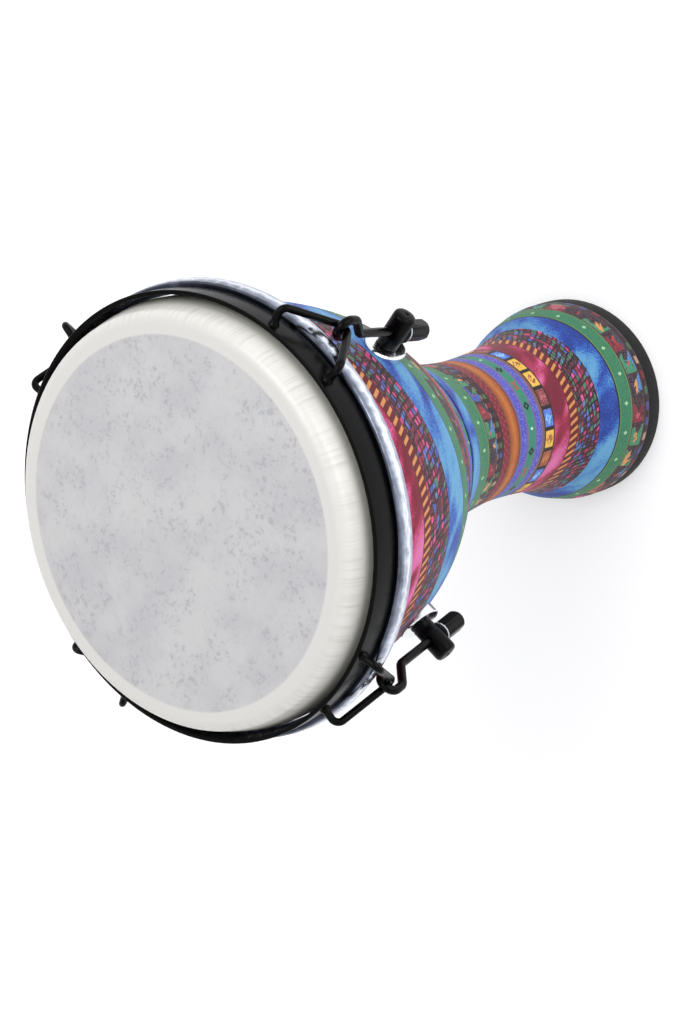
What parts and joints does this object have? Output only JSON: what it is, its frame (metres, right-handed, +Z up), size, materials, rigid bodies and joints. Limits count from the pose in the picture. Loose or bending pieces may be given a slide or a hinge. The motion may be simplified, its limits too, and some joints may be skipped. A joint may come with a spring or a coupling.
{
  "type": "djembe",
  "caption": "Goblet hand drum with a film head, tension ring, hook bolts and tuning nuts, printed fabric over a hollow shell, and a rubber foot ring.",
  "frame": {"origin": "on the drum's axis, in the plane where the rubber foot ring rests", "axes": "+Z up the drum's axis to the playing head; lug 1 on +X, lug 2 on +Y, lug 3 on -X, lug 4 on -Y"},
  "size_m": [0.3326, 0.3326, 0.4915],
  "materials": {
    "shell": "satin moulded plastic",
    "fabric": "printed woven cotton bonded to the shell",
    "rubber": "matte",
    "film": "satin polyester film",
    "hoop": "bright rolled aluminium",
    "black_steel": "satin black powder coat",
    "saddle": "bright plate",
    "zinc": "zinc plate"
  },
  "bodies": {
    "drum": {"shell": "shell", "bowl_wrap": "fabric", "stem_wrap": "fabric", "foot_ring": "rubber", "drumhead": "film", "lug_post_1": "black_steel", "lug_post_2": "black_steel", "lug_post_3": "black_steel", "lug_post_4": "black_steel", "lug_saddle_1": "saddle", "lug_saddle_2": "saddle", "lug_saddle_3": "saddle", "lug_saddle_4": "saddle", "lug_screw_1": "zinc", "lug_screw_2": "zinc", "lug_screw_3": "zinc", "lug_screw_4": "zinc", "backing_washer_1": "zinc", "backing_washer_2": "zinc", "backing_washer_3": "zinc", "backing_washer_4": "zinc", "lug_washer_1": "zinc", "lug_washer_2": "zinc", "lug_washer_3": "zinc", "lug_washer_4": "zinc"},
    "head_ring": {"tension_ring": "black_steel", "flesh_hoop": "hoop", "bail_1": "black_steel", "bail_2": "black_steel", "bail_3": "black_steel", "bail_4": "black_steel"},
    "hook_1": {"hook_bolt_1": "black_steel"},
    "hook_2": {"hook_bolt_2": "black_steel"},
    "hook_3": {"hook_bolt_3": "black_steel"},
    "hook_4": {"hook_bolt_4": "black_steel"},
    "nut_1": {"tuning_nut_1": "black_steel"},
    "nut_2": {"tuning_nut_2": "black_steel"},
    "nut_3": {"tuning_nut_3": "black_steel"},
    "nut_4": {"tuning_nut_4": "black_steel"}
  },
  "joints": [
    {"name": "head_tension", "type": "slide", "parent": "drum", "child": "head_ring", "axis": [0, 0, -1], "range_m": [-0.003, 0.004]},
    {"name": "hook_pull_1", "type": "slide", "parent": "drum", "child": "hook_1", "axis": [-0.1478, 0, -0.989], "range_m": [-0.0031, 0.0041]},
    {"name": "hook_pull_2", "type": "slide", "parent": "drum", "child": "hook_2", "axis": [0, -0.1478, -0.989], "range_m": [-0.0031, 0.0041]},
    {"name": "hook_pull_3", "type": "slide", "parent": "drum", "child": "hook_3", "axis": [0.1478, 0, -0.989], "range_m": [-0.0031, 0.0041]},
    {"name": "hook_pull_4", "type": "slide", "parent": "drum", "child": "hook_4", "axis": [0, 0.1478, -0.989], "range_m": [-0.0031, 0.0041]},
    {"name": "nut_turn_1", "type": "hinge", "parent": "drum", "child": "nut_1", "pos_m": [0.14227, 0, 0.3703], "axis": [0.1478, 0, 0.989], "range_deg": [-1093, 1457]},
    {"name": "nut_turn_2", "type": "hinge", "parent": "drum", "child": "nut_2", "pos_m": [0, 0.14227, 0.3703], "axis": [0, 0.1478, 0.989], "range_deg": [-1093, 1457]},
    {"name": "nut_turn_3", "type": "hinge", "parent": "drum", "child": "nut_3", "pos_m": [-0.14227, 0, 0.3703], "axis": [-0.1478, 0, 0.989], "range_deg": [-1093, 1457]},
    {"name": "nut_turn_4", "type": "hinge", "parent": "drum", "child": "nut_4", "pos_m": [0, -0.14227, 0.3703], "axis": [0, -0.1478, 0.989], "range_deg": [-1093, 1457]}
  ],
  "couplings": [
    {"joint": "hook_pull_1", "follows": "head_tension", "ratio": 1.0111},
    {"joint": "hook_pull_2", "follows": "head_tension", "ratio": 1.0111},
    {"joint": "hook_pull_3", "follows": "head_tension", "ratio": 1.0111},
    {"joint": "hook_pull_4", "follows": "head_tension", "ratio": 1.0111},
    {"joint": "nut_turn_1", "follows": "head_tension", "rad_per_m": 6353},
    {"joint": "nut_turn_2", "follows": "head_tension", "rad_per_m": 6353},
    {"joint": "nut_turn_3", "follows": "head_tension", "rad_per_m": 6353},
    {"joint": "nut_turn_4", "follows": "head_tension", "rad_per_m": 6353}
  ]
}
